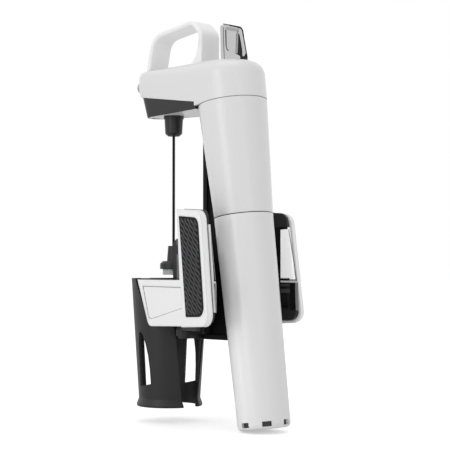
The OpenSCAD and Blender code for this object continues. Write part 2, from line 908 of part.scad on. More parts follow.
// Places a profile of the left wing, drawn with Y across and Z up, at a depth below the wing's outer face
module on_wing(depth, t) {
  translate([-wing_out, 0, 0]) rotate([0, 0, -wing_splay]) translate([depth, 0, 0])
    rotate([90, 0, 90]) linear_extrude(t) children();
}

module rounded(r) {
  offset(r = r) offset(delta = -r) children();
}

// Outline of the upright part of the wing, beside the tube
module wing_outline() {
  rounded(wing_corner, $fn = 32) polygon([
    [wing_front(wing_top) + wing_lead, wing_top + 0.5],
    [wing_rear(wing_top), wing_top - 2],
    [wing_rear(-wing_drop), 2 - wing_drop],
    [wing_front(-wing_drop) + wing_lead, -wing_drop]
  ]);
}

// Everything behind the wing's front edge
module behind_front() {
  polygon([
    [wing_front(far), far],
    [wing_front(-far), -far],
    [-2 * far, -far],
    [-2 * far, far]
  ]);
}

// Outline of the front plate, which covers the top of the sleeve
module plate_outline() {
  rounded(plate_corner, $fn = 32) polygon([
    [plate_front, plate_top + plate_over],
    [-plate_rear, plate_top + plate_over],
    [-plate_rear, 1.6 - wing_drop],
    [-plate_toe, -wing_drop]
  ]);
}

module shell_outline() {
  intersection() {
    wing_outline();
    behind_front();
  }
  intersection() {
    plate_outline();
    translate([-far, -far]) square([2 * far, far + plate_top]);
  }
}

module grip_outline(gap) {
  offset(delta = gap) intersection() {
    rounded(grip_corner, $fn = 32) polygon([
      [grip_front(wing_top) + wing_lead + 2, wing_top - grip_in - 0.2],
      [wing_rear(wing_top) + grip_in, wing_top - 2 * grip_in],
      [wing_rear(-wing_drop) + grip_in + 1.4, 2 * grip_in + 1.2 - wing_drop],
      [grip_front(-wing_drop) + wing_lead + 2, 2 * grip_in - wing_drop]
    ]);
    polygon([
      [grip_front(far), far],
      [grip_front(-far), -far],
      [-2 * far, -far],
      [-2 * far, far]
    ]);
  }
}

// Shallow panel, left bare, in the front plate
module panel_outline() {
  polygon([
    [-0.1, -panel_in],
    [-panel_l, -panel_in - 0.3],
    [-panel_l - 1.2, -panel_in - panel_h],
    [-plate_toe - 2.8, panel_in - 0.3 - wing_drop],
    [-plate_toe - 0.4, panel_in + 0.1 - wing_drop],
    [-plate_toe + 0.8, panel_in + 1.2 - wing_drop]
  ]);
}

module left_wing_shell() {
  color("white") difference() {
    union() {
      on_wing(0, plate_depth) shell_outline();
      on_wing(0, rim_depth) intersection() {
        wing_outline();
        behind_front();
      }
    }
    on_wing(shell_wall, wing_t) offset(delta = -rim_wall) shell_outline();
    on_wing(-past, shell_wall + 2 * past) grip_outline(drop_fit);
    on_wing(-past, past + panel_depth) panel_outline();
    on_wing(plate_depth, wing_t) translate([wing_front(0), -far]) square([2 * far, far]);
  }
}

module left_grip() {
  color("dimgray") on_wing(-grip_proud, shell_wall + grip_proud) grip_outline(0);
}

// Half of the bottle sleeve, a cone split front and back, with its lip and window
module sleeve_half() {
  translate([0, sleeve_y, 0]) difference() {
    rotate_extrude(angle = sleeve_to - sleeve_from, start = sleeve_from) polygon([
      [sleeve_at(0) - sleeve_wall, 0],
      [sleeve_at(0), 0],
      [sleeve_at(sleeve_drop - 5), -sleeve_drop + 5],
      [sleeve_at(sleeve_drop) + sleeve_lip, -sleeve_drop + 1.6],
      [sleeve_at(sleeve_drop) + sleeve_lip, -sleeve_drop + 0.4],
      [sleeve_at(sleeve_drop) + sleeve_lip - 0.4, -sleeve_drop],
      [sleeve_at(sleeve_drop) - sleeve_wall, -sleeve_drop]
    ]);
    rotate([0, 0, window_at]) rotate([90, 0, 90]) linear_extrude(far) sleeve_window();
    rotate([90, 0, 0]) linear_extrude(far) polygon([
      [-sleeve_gap, -sleeve_drop - past],
      [-sleeve_gap - sleeve_gap_rise * sleeve_drop, past],
      [past, past],
      [past, -sleeve_drop - past]
    ]);
  }
}

module sleeve_window() {
  half = window_w / 2;
  top = -window_in;
  low = window_foot - sleeve_drop;
  polygon([
    [half, low + 2], [-half, low], [-half, top - 7.6], [-half + 1, top - 1.6], [-half + 2.7, top],
    [-0.2, top - 1.6], [half - 2.7, top - 7.6], [half - 1.1, top - 14.6], [half - 0.3, top - 22.6]
  ]);
}

// Plan of the arm that joins the barrel to the wing and to the sleeve
module arm_plan() {
  hull() {
    translate([-pin_x, -pin_back]) circle(r = barrel_r, $fn = 32);
    translate([-wing_out, 0]) rotate(-wing_splay) translate([shell_wall + 0.4, arm_rear])
      square([arm_foot_t, arm_foot_l]);
  }
}

// The jaw's sleeve, arm and backing of the pad, cut back from the wing's shell
module jaw_frame() {
  difference() {
    union() {
      sleeve_half();
      translate([0, 0, barrel_low]) linear_extrude(barrel_high - barrel_low) arm_plan();
      intersection() {
        translate([-wing_out, -pad_half, -pad_h]) cube([wing_out - pad_back, 2 * pad_half, pad_h]);
        translate([0, sleeve_y, -pad_h]) cylinder(r = sleeve_at(pad_h), h = pad_h);
      }
    }
    on_wing(-cut_in, cut_in + plate_depth + drop_fit) offset(delta = 4) shell_outline();
    on_wing(-cut_in, cut_in + rim_depth + drop_fit) offset(delta = drop_fit) intersection() {
      wing_outline();
      behind_front();
    }
    translate([-pad_back, -pad_half, -pad_h - past]) cube([pad_back, 2 * pad_half, pad_h + 2 * past]);
  }
}

module left_jaw() {
  color("dimgray") difference() {
    union() {
      jaw_frame();
      on_wing(shell_wall, wing_t - shell_wall) core_outline();
      on_wing(shell_wall, 3) intersection() {
        offset(delta = -rim_wall - drop_fit) plate_outline();
        translate([-far, -far]) square([2 * far, far + plate_top - rim_wall - drop_fit]);
      }
      on_wing(rim_depth + 0.3, wing_t - rim_depth - 0.3) translate([0, rim_wall + 0.4]) core_outline();
    }
    translate([-pin_x, -pin_back, -far]) cylinder(d = pin_d + 2 * run_fit, h = 2 * far);
    on_wing(wing_t - liner_t, cut_in) liner_outline(drop_fit);
    on_wing(wing_t - pocket_depth, cut_in) pocket_outline();
  }
}

// Outline of the black core that fills the wing's shell
module core_outline() {
  offset(delta = -rim_wall - drop_fit) intersection() {
    wing_outline();
    behind_front();
  }
}

// Light liner on the inner side of the wing: a panel and a strip down the rear edge
module liner_outline(gap) {
  offset(delta = gap) polygon([
    [wing_front(liner_top) - liner_in, liner_top],
    [wing_rear(liner_top) + 0.6, liner_top],
    [wing_rear(-liner_foot) + 0.6, -liner_foot],
    [wing_rear(-liner_foot) + 4, -liner_foot],
    [wing_rear(0) + 4, 0],
    [wing_front(0) - liner_in, 0]
  ]);
}

// Dark recess below the light panel
module pocket_outline() {
  polygon([
    [wing_front(-3) - liner_in - 2, -3],
    [wing_rear(-3) + 7, -3],
    [wing_rear(1 - liner_foot) + 7, 1 - liner_foot],
    [wing_front(1 - liner_foot) - liner_in - 2, 1 - liner_foot]
  ]);
}

module left_wing_liner() {
  color("whitesmoke") on_wing(wing_t - liner_t, liner_t) liner_outline(0);
}

module left_neck_pad() {
  color("black") difference() {
    translate([-pad_back, -pad_half, -pad_h]) cube([pad_back, 2 * pad_half, pad_h]);
    translate([0, 0, -pad_h - past]) cylinder(r = neck_r, h = pad_h + 2 * past);
    translate([-pad_open, -2 * pad_half, -pad_h - past])
      cube([2 * pad_open, 4 * pad_half, pad_h + 2 * past]);
  }
}

module left_hinge_pin() {
  color("silver") translate([-pin_x, -pin_back, -carriage_drop])
    cylinder(d = pin_d, h = carriage_drop + carriage_top);
}

module left_jaw_spring() {
  room = carriage_top - lug_top_h - barrel_high;
  color("gray") translate([-pin_x, -pin_back, barrel_high + 0.9])
    helix_spring(spring_r, spring_wire, spring_turns, room - 1.8);
}

module right_jaw() mirrored() left_jaw();
module right_wing_shell() mirrored() left_wing_shell();
module right_grip() mirrored() left_grip();
module right_wing_liner() mirrored() left_wing_liner();
module right_neck_pad() mirrored() left_neck_pad();
module right_hinge_pin() mirrored() left_hinge_pin();
module right_jaw_spring() mirrored() left_jaw_spring();

// Loop handle: a flat band bent over the head, drawn from the side

// Outline of the loop, with a wide curve at its front corner and a tighter one at its rear corner
module loop_outer() {
  for (part = [[loop_mid, loop_front_r], [loop_mid - far, loop_rear_r]]) intersection() {
    rounded(part[1], $fn = 96) polygon([
      [loop_foot + 4.6, -loop_sunk],
      [loop_foot - loop_front_in, loop_h - 3.6],
      [-loop_back + loop_rear_in, loop_h + 1.6],
      [-loop_back, loop_h - loop_rear_fall],
      [-loop_back, -loop_sunk]
    ]);
    translate([part[0], -far]) square([far, 2 * far]);
  }
}

// Hollow corner that widens the foot of the loop's rear column
module loop_flare() {
  curve = [for (a = [10:10:90]) [flare_w * (1 - sin(a)), flare_h * (1 - cos(a))]];
  translate([-loop_back + loop_t - 0.2, 0]) polygon(concat([[0, 0], [flare_w, 0]], curve));
}

module handle_loop() {
  color("whitesmoke") translate([0, 0, head_top]) across(loop_w) intersection() {
    union() {
      difference() {
        loop_outer();
        offset(delta = -loop_t) loop_outer();
      }
      loop_flare();
    }
    translate([-far, 0]) square([2 * far, far]);
  }
}

head_shell();
mid_housing();
handle_loop();
trigger();
trigger_pin();
trigger_spring();
spout();
head_surround();
underside_plate();
needle_hub();
needle();
manifold();
regulator_block();
piercing_pin();
regulator_seal();
valve_plunger();
gas_tube();
guide_rail();
rail_screws();
capsule_cup();
cup_thread_ring();
cup_cushion();
argon_capsule();
carriage();
needle_guide();
guide_disc();
left_jaw();
left_wing_shell();
left_grip();
left_wing_liner();
left_neck_pad();
left_hinge_pin();
left_jaw_spring();
right_jaw();
right_wing_shell();
right_grip();
right_wing_liner();
right_neck_pad();
right_hinge_pin();
right_jaw_spring();
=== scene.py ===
# %% [markdown]
# A wine dispenser, dressed for a studio picture. The machine-drawn solids come in as a fixed frame: a
# leaning white tube, a head with a loop handle and a chromed trigger, and a black rail on which a clamp
# with two winged jaws slides. Each cell below does one thing, and says first what that thing is on the real
# object.

# %% Load the frame
import math

import bmesh
import bpy
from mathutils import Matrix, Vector
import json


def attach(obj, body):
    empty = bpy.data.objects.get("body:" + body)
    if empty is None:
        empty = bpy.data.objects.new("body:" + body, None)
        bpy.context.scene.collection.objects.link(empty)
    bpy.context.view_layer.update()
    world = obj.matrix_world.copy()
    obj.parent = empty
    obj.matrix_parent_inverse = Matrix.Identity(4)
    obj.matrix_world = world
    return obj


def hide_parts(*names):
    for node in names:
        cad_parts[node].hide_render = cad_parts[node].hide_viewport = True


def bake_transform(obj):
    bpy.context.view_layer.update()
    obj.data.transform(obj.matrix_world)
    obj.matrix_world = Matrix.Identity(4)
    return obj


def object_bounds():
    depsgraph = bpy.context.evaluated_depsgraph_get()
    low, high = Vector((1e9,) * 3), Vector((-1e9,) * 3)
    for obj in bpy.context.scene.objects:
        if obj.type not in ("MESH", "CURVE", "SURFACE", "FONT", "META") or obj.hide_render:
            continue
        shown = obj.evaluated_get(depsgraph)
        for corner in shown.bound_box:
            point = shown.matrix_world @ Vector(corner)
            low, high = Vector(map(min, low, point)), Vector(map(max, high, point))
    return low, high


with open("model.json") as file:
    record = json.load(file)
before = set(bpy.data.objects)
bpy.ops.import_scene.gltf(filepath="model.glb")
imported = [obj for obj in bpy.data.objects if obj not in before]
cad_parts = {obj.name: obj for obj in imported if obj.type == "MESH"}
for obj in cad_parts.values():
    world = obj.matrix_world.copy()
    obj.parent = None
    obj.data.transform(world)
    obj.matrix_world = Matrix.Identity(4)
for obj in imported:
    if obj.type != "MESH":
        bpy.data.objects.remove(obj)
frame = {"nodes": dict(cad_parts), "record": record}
cad_low, cad_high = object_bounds()
nodes = frame["nodes"]
print(len(nodes), "solids loaded, box", [round(1000 * (b - a), 1) for a, b in zip(cad_low, cad_high)], "mm")

# %% [markdown]
# The picture is taken from the front left at the height of the clamp, with a long lens, so that the tube's
# sides stay nearly parallel. The camera is placed from the distances that a fitted view gave: 104 mm of
# focal length on a 36 mm sensor, a little over 0.8 m away, pitched up by about two degrees.

# %% Camera
camera_data = bpy.data.cameras.new("studio_camera")
camera_data.lens = 104
camera_data.sensor_width = 36
camera_data.clip_start = 0.01
camera = bpy.data.objects.new("studio_camera", camera_data)
bpy.context.scene.collection.objects.link(camera)
camera.location = (-0.5501, -0.5954, 0.0056)
camera.rotation_euler = (math.radians(90 + 1.94), 0, math.radians(-45))
bpy.context.scene.camera = camera
print("camera at", [round(v, 3) for v in camera.location])

# %% [markdown]
# Colours are written as the hex values that a picture shows. A shader works with linear light, so one
# function turns each value. A second one adds a node with its settings and its links.


# %% Colour and node helpers
def linear(hex_value):
    channels = [int(hex_value[i : i + 2], 16) / 255 for i in (1, 3, 5)]
    return tuple(c / 12.92 if c <= 0.04045 else ((c + 0.055) / 1.055) ** 2.4 for c in channels) + (1.0,)


def add_node(material, kind, links=(), **settings):
    node = material.node_tree.nodes.new(kind)
    for name, value in settings.items():
        if hasattr(node, name):
            setattr(node, name, value)
        else:
            node.inputs[name.replace("_", " ")].default_value = value
    for socket, source in dict(links).items():
        material.node_tree.links.new(source, node.inputs[socket])
    return node


def surface(name, colour, roughness, ior=1.5, metallic=0.0, **more):
    material = bpy.data.materials.new(name)
    material.use_nodes = True
    shader = material.node_tree.nodes["Principled BSDF"]
    shader.inputs["Base Color"].default_value = linear(colour)
    shader.inputs["Roughness"].default_value = roughness
    shader.inputs["IOR"].default_value = ior
    shader.inputs["Metallic"].default_value = metallic
    for socket, value in more.items():
        shader.inputs[socket.replace("_", " ")].default_value = value
    material.diffuse_color = linear(colour)
    return material


# %% [markdown]
# The white shells are gloss ABS, moulded in a polished tool. The eye gets soft, long highlights with a very
# faint waviness, like orange peel about 4 mm across, and edges that are never quite sharp: each catches a
# thin line of light. A bevel node rounds the shading at the edges by a third of a millimetre. The wings,
# their liners and the loop get a lighter copy of this white, which is painted light, and softer edges,
# rounded by a millimetre and a half.


# %% White moulded ABS
def round_edges(material, radius_mm, bump):
    shader = material.node_tree.nodes["Principled BSDF"]
    edge = add_node(material, "ShaderNodeBevel", samples=6, Radius=radius_mm / 1000)
    material.node_tree.links.new(edge.outputs["Normal"], bump.inputs["Normal"])
    material.node_tree.links.new(bump.outputs["Normal"], shader.inputs["Normal"])


def grain(material, size_mm, strength, height_mm):
    place = add_node(material, "ShaderNodeTexCoord")
    noise = add_node(
        material,
        "ShaderNodeTexNoise",
        {"Vector": place.outputs["Object"]},
        Scale=1000 / size_mm,
        Detail=2.0,
    )
    return add_node(
        material,
        "ShaderNodeBump",
        {"Height": noise.outputs["Fac"]},
        Strength=strength,
        Distance=height_mm / 1000,
    )


white_abs = surface("white_abs_moulded_gloss", "#E6E6E6", 0.26, ior=1.54)
round_edges(white_abs, 0.35, grain(white_abs, 4.0, 0.12, 0.05))
# Lighter than the white above: painted light on the wings, their liners and the loop.
white_abs_wings = surface("white_abs_moulded_soft_edges", "#F9F9F9", 0.24, ior=1.54)
round_edges(white_abs_wings, 1.5, grain(white_abs_wings, 4.0, 0.12, 0.05))
print("materials", white_abs.name, white_abs_wings.name)

# %% [markdown]
# The clamp and the parts under the head are nylon filled with glass, moulded in a spark-eroded tool. It is
# a black that looks dark grey in a bright studio, because its fine grain spreads the light. The real grain
# is 0.1 mm; here it is 0.5 mm, so that it shows in the picture. The rail is given a coarser and deeper
# black, which gives hardly any light back. The same deep black, laid in the hollows of the wings, is
# painted shade.

# %% Black textured nylon
black_nylon = surface("black_nylon_eroded_texture", "#1D1D1E", 0.42, ior=1.53, Specular_IOR_Level=0.4)
round_edges(black_nylon, 0.4, grain(black_nylon, 0.5, 0.35, 0.03))
# A deeper black for the rail, also laid as painted shade in the hollows of the wings.
deep_black_and_shade = surface("black_nylon_deep_matt", "#0A0A0B", 0.6, ior=1.53, Specular_IOR_Level=0.15)
round_edges(deep_black_and_shade, 0.3, grain(deep_black_and_shade, 0.8, 0.2, 0.02))
print("materials", black_nylon.name, deep_black_and_shade.name)

# %% [markdown]
# The grips and the pads that hold the bottle are thermoplastic rubber, moulded over the wing. It is softer
# to the eye than the nylon: a rougher, slightly lighter grey with no sharp reflection. The ground between
# the grip's ribs gets a darker copy of the rubber, which is painted shade, so it stays darker than the ribs.

# %% Moulded rubber
rubber = surface("thermoplastic_rubber_moulded", "#48484A", 0.62, Specular_IOR_Level=0.3)
round_edges(rubber, 0.3, grain(rubber, 0.6, 0.3, 0.03))
# A darker copy of the rubber: painted shade between the grip's ribs.
rubber_painted_shade = surface("thermoplastic_rubber_eroded", "#1A1A1B", 0.75, Specular_IOR_Level=0.2)
round_edges(rubber_painted_shade, 0.3, grain(rubber_painted_shade, 0.6, 0.3, 0.03))
print("materials", rubber.name, rubber_painted_shade.name)

# %% [markdown]
# The trigger is ABS with a chrome plating over a polished surface, so it mirrors the studio. The screws,
# pins, springs and the capsule are steel, drawn or turned: lines run round or along them. The thread ring
# is turned aluminium, and the regulator machined brass. The real lines lie 0.1 mm apart, and here they are
# drawn about five times as coarse, so that they show. A wave node draws a line for every 2 pi / 20 of its
# scale.


# %% Metals
line_depth_mm = 0.02


def turned_lines(material, spacing_mm, strength):
    place = add_node(material, "ShaderNodeTexCoord")
    wave = add_node(
        material,
        "ShaderNodeTexWave",
        {"Vector": place.outputs["Object"]},
        bands_direction="Z",
        Scale=math.tau / (spacing_mm / 1000) / 20,
        Distortion=1.5,
    )
    return add_node(
        material,
        "ShaderNodeBump",
        {"Height": wave.outputs["Fac"]},
        Strength=strength,
        Distance=line_depth_mm / 1000,
    )


chrome = surface("chrome_plate_on_polished_abs", "#C2C2C3", 0.12, metallic=1.0)
round_edges(chrome, 0.25, grain(chrome, 5.0, 0.1, 0.05))
steel = surface("stainless_steel_drawn", "#B9BABC", 0.28, metallic=1.0)
round_edges(steel, 0.15, turned_lines(steel, 0.5, 0.3))
aluminium = surface("aluminium_turned", "#C9CACC", 0.35, metallic=1.0)
round_edges(aluminium, 0.2, turned_lines(aluminium, 0.6, 0.4))
brass = surface("brass_machined", "#C2A364", 0.3, metallic=1.0)
round_edges(brass, 0.2, turned_lines(brass, 0.6, 0.3))
print("metals", [m.name for m in (chrome, steel, aluminium, brass)])

# %% [markdown]
# The needle is steel with a black fluoropolymer coat, sprayed and baked: smooth, dark and a little waxy.
# The disc under the needle guide is bare polyethylene, which lets some light into itself.

# %% Needle coat and polyethylene
needle_coat = surface("fluoropolymer_coat_baked", "#0C0C0D", 0.38, ior=1.38, Specular_IOR_Level=0.25)
round_edges(needle_coat, 0.1, grain(needle_coat, 1.0, 0.1, 0.01))
polyethylene = surface(
    "polyethylene_moulded", "#D6D6D4", 0.45, ior=1.51, Subsurface_Weight=0.2, Subsurface_Scale=0.002
)
round_edges(polyethylene, 0.25, grain(polyethylene, 2.0, 0.1, 0.03))
print("materials", needle_coat.name, polyethylene.name)

# %% [markdown]
# The record gives every solid a slot, which says what it is made of, so this table only turns a slot into a
# material. After that the rail gets its deeper black, and the liners get the lighter white of the wings,
# which is painted light.

# %% Dress the solids
finishes = {
    "white_shell": white_abs,
    "black_plastic": black_nylon,
    "chrome_trigger": chrome,
    "steel": steel,
    "aluminium": aluminium,
    "brass": brass,
    "coated_needle": needle_coat,
    "rubber": rubber,
    "natural_plastic": polyethylene,
}
slot_of = {part["node"]: part["material_slot"] for part in frame["record"]["subparts"]}
bodies = frame["record"]["behaviour"]["bodies"]
for name, solid in nodes.items():
    solid.data.materials.clear()
    solid.data.materials.append(finishes[slot_of[name]])
nodes["guide_rail"].data.materials[0] = deep_black_and_shade
# The liners lie in shade; their lighter white is painted light.
for name in ["left_wing_liner", "right_wing_liner"]:
    nodes[name].data.materials[0] = white_abs_wings
print("finishes given to", len(slot_of), "solids")

# %% [markdown]
# A solid drawn in flat facets shows them in a gloss finish. Its stand-in has the same shape with its
# doubled points joined, so that the shading can run smoothly over all edges but the sharp ones, which bend
# by more than 24 degrees. Every new piece is made from a form in the same way, and rides on the body that
# carries it.


# %% Smooth stand-ins
joined_within = 0.00001


def add_piece(name, form, material):
    mesh = bpy.data.meshes.new(name)
    form.to_mesh(mesh)
    form.free()
    mesh.materials.append(material)
    piece = bpy.data.objects.new(name, mesh)
    bpy.context.scene.collection.objects.link(piece)
    return piece


def smooth_copy(name, sharp_angle=24, rides=True):
    form = bmesh.new()
    form.from_mesh(nodes[name].data)
    bmesh.ops.remove_doubles(form, verts=form.verts, dist=joined_within)
    bmesh.ops.dissolve_degenerate(form, edges=form.edges, dist=joined_within)
    for face in form.faces:
        face.smooth = True
    for edge in form.edges:
        edge.smooth = len(edge.link_faces) == 2 and edge.calc_face_angle(0) < math.radians(sharp_angle)
    piece = add_piece(name + "_smooth", form, finishes[slot_of[name]])
    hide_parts(name)
    if rides:
        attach(piece, next(body for body, members in bodies.items() if name in members))
    return piece


for name in ["head_shell", "head_surround", "underside_plate"]:
    piece = smooth_copy(name)
    print(piece.name, len(piece.data.polygons), "faces")

# %% [markdown]
# The wings' shells and the loop handle are moulded with generous rounded edges, which take up the light in
# soft bands. Their solids have sharp edges, so their stand-ins get a bevel: it cuts each sharp edge back in
# a few narrow faces. On a wing, where some walls are too low for the full radius, as round the shallow
# panel, the edge gets a share of it.


# %% Rounded wings and loop
def rounded_copy(name, radius_mm, clamp):
    piece = smooth_copy(name)
    bevel = piece.modifiers.new("rounded_edge", "BEVEL")
    bevel.width = radius_mm / 1000
    bevel.segments = 4
    bevel.limit_method = "ANGLE"
    bevel.angle_limit = math.radians(50)
    bevel.use_clamp_overlap = clamp
    bevel.loop_slide = False
    bevel.harden_normals = True
    return piece


rounded = [("handle_loop", 1.3, False), ("left_wing_shell", 0.8, True), ("right_wing_shell", 0.8, True)]
for name, radius_mm, clamp in rounded:
    piece = rounded_copy(name, radius_mm, clamp)
    # The lighter white paints light onto the loop and the wings.
    piece.data.materials[0] = white_abs_wings
    print(piece.name, "edges rounded to", radius_mm, "mm")

# %% [markdown]
# Much of what follows lies on the wings. They are splayed, and the right one mirrors the left. So a point
# is given in the left wing's own directions: how deep it lies behind the front face, how far along the wing
# and how high. The side, 1 or -1, then says whether it is mirrored.


# %% Places on a wing
splay = math.radians(11.6)
wing_face = Vector((-0.0259, 0, 0))
wing_in = Vector((math.cos(splay), -math.sin(splay), 0))
wing_along = Vector((math.sin(splay), math.cos(splay), 0))
sides = {"left": 1, "right": -1}


def mirrored(vector, side):
    return Vector((vector.x * side, vector.y, vector.z))


def on_wing(depth, along, up, side):
    point = wing_face + wing_in * depth + wing_along * along + Vector((0, 0, up))
    return mirrored(point, side)


print("wings splayed by", round(math.degrees(splay), 1), "degrees")

# %% [markdown]
# Each grip is a rubber pad with fine ribs, raised by 0.5 mm in the mould. The pad's outer face is set back
# by that height first. Its outline is kept, because it says how far the ribs may run.


# %% Pads of the grips
rib_h = 0.0005
facing_out = 0.999


def set_back_pad(name, side):
    pad = smooth_copy(name)
    outward = -mirrored(wing_in, side)
    form = bmesh.new()
    form.from_mesh(pad.data)
    outer = [face for face in form.faces if face.normal.dot(outward) > facing_out]
    top = bmesh.ops.dissolve_faces(form, faces=outer)["region"][0]
    outline = []
    for vertex in top.verts:
        place = mirrored(vertex.co, side) - wing_face
        outline.append((place.dot(wing_along), place.z))
        vertex.co -= outward * rib_h
    form.to_mesh(pad.data)
    form.free()
    # The pad's face between the ribs takes the darker rubber, painted shade.
    pad.data.materials[0] = rubber_painted_shade
    return outline


grip_outlines = {}
for word, side in sides.items():
    grip_outlines[word] = set_back_pad(word + "_grip", side)
    print(word, "pad set back inside", len(grip_outlines[word]), "corners")

# %% [markdown]
# The ribs run up the pad on a slant, 2.2 mm apart, and weave a little from side to side. Each one is a
# rounded strip, laid on the pad, that fades out at its ends. It is traced in small steps, and it goes on as
# long as the four corners of a small square round it lie inside the pad's outline.


# %% Ribs of the grips
grip_proud = 0.0007
rib_gap, rib_w = 0.0022, 0.0016
rib_wave, rib_wave_length, rib_phase = 0.0003, 0.0064, 500
rib_step, rib_margin, fewest_steps, fading_steps = 0.0005, 0.0008, 4, 3
rib_section = [(-0.5, 0.0), (-0.22, 0.85), (0.0, 1.0), (0.22, 0.85), (0.5, 0.0)]
diagonal = 0.7071


def inside(outline, y, z):
    crossings = 0
    for (y1, z1), (y2, z2) in zip(outline, outline[1:] + outline[:1]):
        if (z1 > z) != (z2 > z) and y < y1 + (z - z1) * (y2 - y1) / (z2 - z1):
            crossings += 1
    return crossings % 2 == 1


def add_rib(form, run, side):
    rows = []
    for k, (y, z) in enumerate(run):
        fade = min(1.0, k / fading_steps, (len(run) - 1 - k) / fading_steps)
        row = []
        for across, up in rib_section:
            shift = across * rib_w * diagonal
            depth = rib_h - grip_proud - up * rib_h * fade
            row.append(form.verts.new(on_wing(depth, y + shift, z - shift, side)))
        rows.append(row)
    corners = len(rib_section)
    for a, b in zip(rows, rows[1:]):
        for k in range(corners):
            n = (k + 1) % corners
            form.faces.new((a[k], a[n], b[n], b[k])).smooth = True


def rib_runs(outline):
    low_y, high_y = min(y for y, z in outline), max(y for y, z in outline)
    low_z, high_z = min(z for y, z in outline), max(z for y, z in outline)
    first = int((low_y + low_z) * diagonal / rib_step)
    last = int((high_y + high_z) * diagonal / rib_step)
    runs = []
    offset = low_y - high_z
    while offset < high_y - low_z:
        run = []
        for k in range(first, last + 1):
            t = k * rib_step
            wave = rib_wave * math.sin(t * math.tau / rib_wave_length + offset * rib_phase)
            y = offset / 2 + (t + wave) * diagonal
            z = -offset / 2 + (t - wave) * diagonal
            square = [(y + a, z + b) for a in (-rib_margin, rib_margin) for b in (-rib_margin, rib_margin)]
            if all(inside(outline, *corner) for corner in square):
                run.append((y, z))
            else:
                runs.append(run)
                run = []
        offset += rib_gap * 2 * diagonal
    return [run for run in runs if len(run) >= fewest_steps]


for word, side in sides.items():
    form = bmesh.new()
    runs = rib_runs(grip_outlines[word])
    for run in runs:
        add_rib(form, run, side)
    piece = add_piece(word + "_grip_ribs", form, rubber)
    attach(piece, word + "_jaw")
    print(piece.name, len(runs), "ribs", len(piece.data.polygons), "faces")

# %% [markdown]
# Thin details are laid on a face as inlays: outlines in two directions of that face, in millimetres, raised
# outward by about a tenth of a millimetre. A line is an outline too: a strip of some width along a path.
# Most of the inlays below are painted shade or painted reflections.


# %% Inlays
def inlay(name, outlines, face, depth, thickness, material, body):
    origin, across, up = face
    outward = across.cross(up).normalized()
    form = bmesh.new()
    for outline in outlines:
        foot, top = [], []
        for x, y in outline:
            at = origin + (across * x + up * y + outward * depth) / 1000
            foot.append(form.verts.new(at))
            top.append(form.verts.new(at + outward * thickness / 1000))
        form.faces.new(top)
        form.faces.new(foot[::-1])
        for k in range(len(outline)):
            n = (k + 1) % len(outline)
            form.faces.new((foot[k], foot[n], top[n], top[k]))
    bmesh.ops.recalc_face_normals(form, faces=form.faces)
    piece = add_piece(name, form, material)
    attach(piece, body)
    print(piece.name, len(outlines), "outlines")


def strip(path, width):
    left, right = [], []
    for k, point in enumerate(path):
        before, after = Vector(path[max(k - 1, 0)]), Vector(path[min(k + 1, len(path) - 1)])
        along = (after - before).normalized()
        side = Vector((-along.y, along.x)) * width / 2
        left.append(tuple(Vector(point) + side))
        right.append(tuple(Vector(point) - side))
    return left + right[::-1]


# %% [markdown]
# The trigger's blade leans back a little, so its rear face has directions of its own: across, up the blade
# and rearward. In the stand-in for its solid the dish's right edge stands nearly upright, against a dark
# wedge of painted reflection that comes later, and the dish runs out more softly at its top. The points to
# move are picked by where they lie on the blade, in millimetres.


# %% Trigger stand-in
blade = (Vector((0, -0.0536, 0.1295)), Vector((1, 0, 0)), Vector((0, 0.134, 0.991)))
rearward = blade[1].cross(blade[2])
dish_foot, wall_foot, wall_slant = 4.8, 1.7, 0.2
wall_across, wall_heights, wall_depths = (1.2, 3.9), (4.5, 20.8), (0.2, 1.4)
fade_from, fade_share = 16.5, 0.45
floor_across, floor_heights, floor_depths = (-9.0, 9.0), (fade_from, 30.0), (0.2, 0.6)


def within(place, *limits):
    return all(low < value < high for value, (low, high) in zip(place, limits))


trigger_body = smooth_copy("trigger")
for vertex in trigger_body.data.vertices:
    place = (vertex.co - blade[0]) * 1000
    on_blade = (place.x, place.dot(blade[2]), place.dot(rearward))
    x, h = on_blade[:2]
    if within(on_blade, wall_across, wall_heights, wall_depths):
        vertex.co.x += (wall_foot + (h - dish_foot) * wall_slant - x) / 1000
    if within(on_blade, floor_across, floor_heights, floor_depths):
        vertex.co -= blade[2] * (h - fade_from) * fade_share / 1000
print(trigger_body.name, len(trigger_body.data.polygons), "faces")

# %% [markdown]
# The rear face of the trigger carries painted reflections: dark shapes in a smooth, nearly black finish,
# where the chrome would mirror something dark. They are a wedge that widens downward beside the dish and
# runs into a block at the lower right corner, and a line that follows the top and the right edge. Lighter
# grey lines down the left edge and the left side of the dish are painted shade.

# %% Trigger's painted reflections and shade lines
# Nearly black, for the painted reflections on the chrome.
painted_dark_reflection = surface("smoked_acrylic_moulded", "#141416", 0.25, ior=1.49, Specular_IOR_Level=0.2)
round_edges(painted_dark_reflection, 0.1, grain(painted_dark_reflection, 3.0, 0.08, 0.02))
